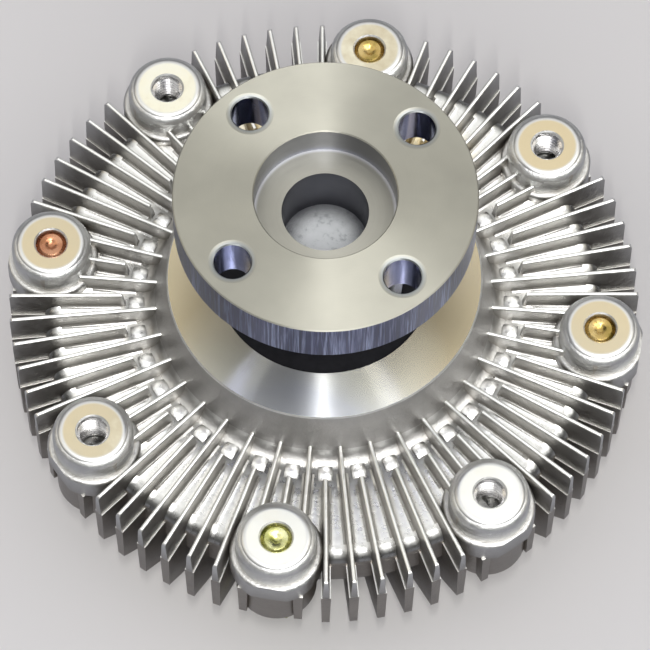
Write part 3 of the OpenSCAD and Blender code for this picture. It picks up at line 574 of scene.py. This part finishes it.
for node in ("rotor_washer", "rotor_nut", "divider_plate", "divider_screws", "valve_shaft", "valve_arm"):
    dress(node, STEEL)


# Pieces made here

def linked(name, bm, material):
    """Object of a finished bmesh, linked to the scene."""
    mesh = bpy.data.meshes.new(name)
    bm.to_mesh(mesh)
    bm.free()
    mesh.materials.append(material)
    made = bpy.data.objects.new(name, mesh)
    scene.collection.objects.link(made)
    return made


def skinned(name, rows, material):
    """Closed piece with a skin over rows of points and a cap at each end."""
    bm = bmesh.new()
    rings = [[bm.verts.new(point) for point in row] for row in rows]
    count = len(rings[0])
    for p, q in zip(rings, rings[1:]):
        for k in range(count):
            bm.faces.new((p[k], q[k], q[(k + 1) % count], p[(k + 1) % count]))
    bm.faces.new(rings[0][::-1])
    bm.faces.new(rings[-1])
    bmesh.ops.recalc_face_normals(bm, faces=bm.faces)
    return linked(name, bm, material)


# Threads of the fan bosses

def thread(name, x, y, z_high, depth, r_out, r_in, pitch, foot, top, steps=40, least=0.05):
    """Ridge that winds up a hole and fades to the least share of its height at both ends."""
    turns = (depth - pitch) / pitch
    total = int(turns * steps)
    z_low = z_high - depth + pitch / 2
    rows = []
    for i in range(total + 1):
        a = 2 * math.pi * i / steps
        z = z_low + turns * pitch * i / total
        fade = min(1.0, i / (steps / 2), (total - i) / (steps / 2))
        crest = r_out - (r_out - r_in) * max(fade, least)
        section = ((r_out, -foot), (crest, -top), (crest, top), (r_out, foot))
        rows.append([(x + r * math.cos(a), y + r * math.sin(a), z + share * pitch) for r, share in section])
    ridge = skinned(name, rows, THREAD)
    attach(ridge, "housing")


for i in range(BOSSES // 2):
    a = BOSS_STEP * (2 * i + 1)
    thread(f"fan_thread_{i + 1}", BOSS_R * math.cos(a), BOSS_R * math.sin(a), **FAN_THREAD)


# Bimetal strip: its inner tab turns with the valve's shaft, and its outer tab stays in the post

def rounded(a, corner, b):
    """Points of a soft bend from one point to another, without the last."""
    return [a * (1 - t) ** 2 + corner * 2 * t * (1 - t) + b * t * t for t in (0, 0.2, 0.4, 0.6, 0.8)]


def coil_line():
    """Points along the strip's middle from shaft to post, and where in that list its turns begin and end."""
    bend = COIL["bend"]
    halves = 2 * COIL["turns"]
    turns = []
    for k in range(halves):
        x, r = k % 2 * COIL["pitch"] / 2, COIL["r"] + k * COIL["pitch"] / 2
        low = bend / r if k == 0 else 0
        high = math.pi - (bend / r if k == halves - 1 else 0)
        for i in range(COIL["steps"] + (k == halves - 1)):
            a = k % 2 * math.pi + low + (high - low) * i / COIL["steps"]
            turns.append(Vector((x + r * math.cos(a), r * math.sin(a))))
    first = Vector((COIL["r"], 0))
    last = Vector((COIL["r"] + COIL["turns"] * COIL["pitch"], 0))
    aside = Vector((bend, 0))
    inner = [Vector((-COIL["shaft_r"], 0)), *rounded(first - aside, first, turns[0])]
    outer = [*rounded(turns[-1], last, last + aside), last + aside, last + Vector((COIL["tail"], 0))]
    return inner + turns[:-1] + outer, len(inner), len(inner) + len(turns) - 1


def coil(name):
    """Strip with broken edges, weighted along its length while flat and then wound up."""
    points, begin, end = coil_line()
    along = [0.0]
    for p, q in zip(points, points[1:]):
        along.append(along[-1] + (q - p).length)
    half, width, edge = COIL["thick"] / 2, COIL["width"], COIL["edge"]
    section = ((-half, edge), (edge - half, 0), (half - edge, 0), (half, edge),
               (half, width - edge), (half - edge, width), (edge - half, width), (-half, width - edge))
    strip = skinned(name, [[(x, y, COIL["z"] + z) for y, z in section] for x in along], BIMETAL)
    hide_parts("bimetal_coil")
    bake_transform(strip)
    mesh = strip.data
    for i, (p, before, after) in enumerate(zip(points, points[:1] + points, points[1:] + points[-1:])):
        ahead = (after - before).normalized()
        for k, (y, z) in enumerate(section):
            wound = (p.x - ahead.y * y, p.y + ahead.x * y, COIL["z"] + z)
            mesh.vertices[i * len(section) + k].co = wound
    mesh.polygons.foreach_set("use_smooth", [True] * len(mesh.polygons))
    mesh.set_sharp_from_angle(angle=SMOOTH_ANGLE)


coil("bimetal_strip")


# Smooth shading of rounded surfaces

def smoothing(limit):
    """Modifier tree that keeps only edges over the limit sharp."""
    tree = bpy.data.node_groups.new("smooth_by_angle", "GeometryNodeTree")
    tree.is_modifier = True
    for way in ("INPUT", "OUTPUT"):
        tree.interface.new_socket("Geometry", in_out=way, socket_type="NodeSocketGeometry")
    start, end = tree.nodes.new("NodeGroupInput"), tree.nodes.new("NodeGroupOutput")
    angle = tree.nodes.new("GeometryNodeInputMeshEdgeAngle")
    over = tree.nodes.new("FunctionNodeCompare")
    over.operation = "GREATER_THAN"
    over.inputs["B"].default_value = limit
    sharp = tree.nodes.new("GeometryNodeSetShadeSmooth")
    sharp.domain = "EDGE"
    sharp.inputs["Shade Smooth"].default_value = False
    tree.links.new(angle.outputs["Unsigned Angle"], over.inputs["A"])
    tree.links.new(over.outputs["Result"], sharp.inputs["Selection"])
    tree.links.new(start.outputs[0], sharp.inputs["Geometry"])
    tree.links.new(sharp.outputs["Geometry"], end.inputs[0])
    return tree


SMOOTH = smoothing(SMOOTH_ANGLE)
for piece in nodes.values():
    if "custom_normal" in piece.data.attributes:
        piece.data.attributes.remove(piece.data.attributes["custom_normal"])
    piece.data.polygons.foreach_set("use_smooth", [True] * len(piece.data.polygons))
    piece.modifiers.new("weld", "WELD").merge_threshold = WELD_GAP
    piece.modifiers.new("smooth", "NODES").node_group = SMOOTH
    flat = piece.modifiers.new("flat", "WEIGHTED_NORMAL")
    flat.keep_sharp = True
    flat.weight = 100


# Camera at the photograph's viewpoint

TURN = math.radians(8.911)
ELEVATION = math.radians(63.221)
ROLL = math.radians(0.81)
DISTANCE = 937.547 * MM
ASIDE = -0.132 * MM
ABOVE = -31.93 * MM
FOCAL_PX = 3843.47
FRAME_PX = 650


def placed(v):
    """From the photograph's axes to the part's."""
    return Matrix.Rotation(TURN, 3, "Z") @ Vector(v)


forward = Vector((0, math.cos(ELEVATION), -math.sin(ELEVATION)))
right = Matrix.Rotation(ROLL, 3, -forward) @ Vector((1, 0, 0))
up = right.cross(forward)
place = Vector((0, 0, Z_TOP)) + placed(right * ASIDE + up * ABOVE - forward * DISTANCE)
facing = Matrix((placed(right), placed(up), placed(-forward))).transposed().to_4x4()
lens = bpy.data.cameras.new("camera")
lens.sensor_width = 36
lens.lens = FOCAL_PX / FRAME_PX * lens.sensor_width
lens.clip_start, lens.clip_end = 0.01, 50
camera = bpy.data.objects.new("camera", lens)
camera.matrix_world = Matrix.Translation(place) @ facing
scene.collection.objects.link(camera)
scene.camera = camera


# Floor, pale to the eye and darker in the metal's reflections

FLOOR_HALF = 6.0
FLOOR_DROP = 0.2 * MM

paper = Mat("paper", Roughness=0.9)
pale = paper.mix(paper.spread(paper.noise(3, 2)), (0.775, 0.750, 0.712), (0.795, 0.770, 0.732))
mirrored = paper.node("LightPath").outputs["Is Glossy Ray"]
paper.set(Base_Color=paper.mix(mirrored, pale, (0.46, 0.46, 0.47)))
grid = bmesh.new()
bmesh.ops.create_grid(grid, x_segments=8, y_segments=8, size=FLOOR_HALF)
floor = linked("floor", grid, paper.mat)
floor.location = (0, 0, -FLOOR_DROP)


# Room: even light for the floor, and soft bright patches in a dim room for the metal's reflections

DIM = 0.16
EVEN = 0.45

world = bpy.data.worlds.new("studio")
world.use_nodes = True
room = world.node_tree
sky = room.nodes["World Output"].inputs["Surface"]


def room_node(kind, *inputs):
    """Node of the room with its first inputs linked to outputs or set to plain values."""
    n = room.nodes.new("ShaderNode" + kind)
    for socket, value in zip(n.inputs, inputs):
        if hasattr(value, "links"):
            room.links.new(value, socket)
        else:
            socket.default_value = value
    return n


def softbox(way, towards, dim, full, strength):
    """Bright patch of the room about a direction, fading from one cosine to another."""
    lean = room_node("VectorMath", way, placed(towards).normalized())
    lean.operation = "DOT_PRODUCT"
    fade = room_node("MapRange", lean.outputs["Value"], dim, full, 0.0, strength)
    fade.interpolation_type = "SMOOTHSTEP"
    return fade.outputs["Result"]


way = room_node("TexCoord").outputs["Generated"]
ceiling = softbox(way, (0.0, 0.451, 0.893), 0.45, 0.96, 0.85)
window = softbox(way, (0.42, -0.30, 0.85), 0.82, 0.97, 3.8)
lampshade = softbox(way, (-0.5, -0.25, 0.83), 0.82, 0.97, 0.7)
light = DIM
for patch in (ceiling, window, lampshade):
    light = room_node("Math", patch, light).outputs[0]
mirror = room_node("Background", (1.0, 1.0, 0.985, 1), light).outputs[0]
even = room_node("Background", (0.91, 0.94, 1.10, 1), EVEN).outputs[0]
seen = room_node("LightPath").outputs["Is Glossy Ray"]
room.links.new(room_node("MixShader", seen, even, mirror).outputs[0], sky)
scene.world = world


# Lamps

AIM = Vector((0, 0, 50 * MM))


def lamp(name, where, size_x, size_y, power, colour):
    """Soft rectangular lamp at a place in the photograph's axes, turned to the part."""
    data = bpy.data.lights.new(name, "AREA")
    data.shape = "RECTANGLE"
    data.size, data.size_y = size_x, size_y
    data.energy = power
    data.color = colour
    made = bpy.data.objects.new(name, data)
    made.location = AIM + placed(where)
    made.rotation_mode = "QUATERNION"
    made.rotation_quaternion = (AIM - made.location).to_track_quat("-Z", "Y")
    scene.collection.objects.link(made)


lamp("strip", (0.0, -0.57, 1.12), 0.02, 0.5, 6.0, (1.0, 1.0, 1.0))
lamp("front", (0.1, -1.25, 0.95), 1.0, 0.6, 3.0, (1.0, 0.99, 0.97))
lamp("left", (-1.25, 0.25, 0.75), 0.8, 0.8, 2.0, (1.0, 0.90, 0.72))
lamp("right", (1.25, 0.25, 0.75), 0.8, 0.8, 2.0, (1.0, 0.93, 0.78))
